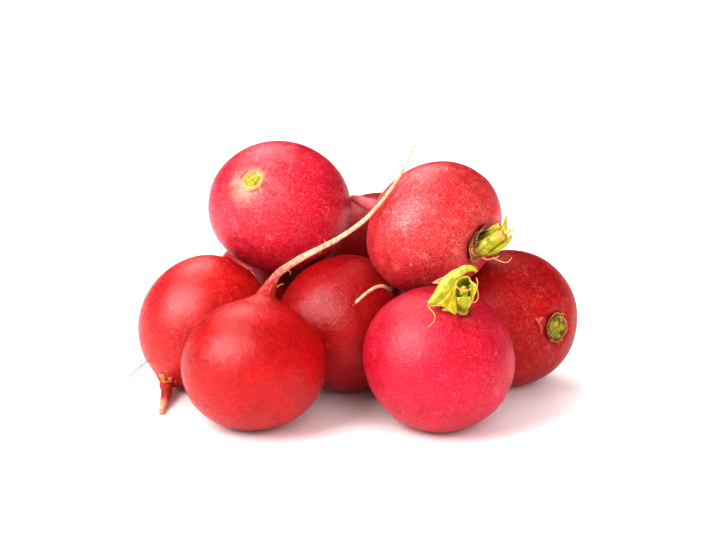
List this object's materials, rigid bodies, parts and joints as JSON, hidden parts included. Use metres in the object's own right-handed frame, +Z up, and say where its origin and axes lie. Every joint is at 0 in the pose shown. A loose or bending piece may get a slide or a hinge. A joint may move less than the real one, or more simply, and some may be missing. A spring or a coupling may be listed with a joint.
{
  "type": "radish heap",
  "caption": "Loose heap of small round red radishes with leaves trimmed to short stubs and one long curved taproot.",
  "frame": {"origin": "on the ground plane under the middle of the heap's bounding box", "axes": "+Z up; -Y towards the front of the heap, where the long taproot and the large leaf stub are; +X to the right of the front view; Y is the longest extent"},
  "size_m": [0.1136, 0.1188, 0.0661],
  "materials": {
    "skin_coral": "satin",
    "skin_pink": "satin",
    "skin_red": "satin",
    "skin_dark": "satin",
    "leaf_stalk": "satin"
  },
  "bodies": {
    "root": {"radish_front_left": "skin_coral", "crown_front_left": "leaf_stalk", "radish_left": "skin_coral", "crown_left": "leaf_stalk", "radish_top_left": "skin_pink", "crown_top_left": "leaf_stalk", "radish_middle": "skin_red", "crown_middle": "leaf_stalk", "radish_top_right": "skin_pink", "crown_top_right": "leaf_stalk", "radish_front_right": "skin_pink", "crown_front_right": "leaf_stalk", "radish_right": "skin_dark", "crown_right": "leaf_stalk", "radish_back": "skin_red", "crown_back": "leaf_stalk", "radish_back_left": "skin_coral", "crown_back_left": "leaf_stalk"}
  },
  "joints": []
}
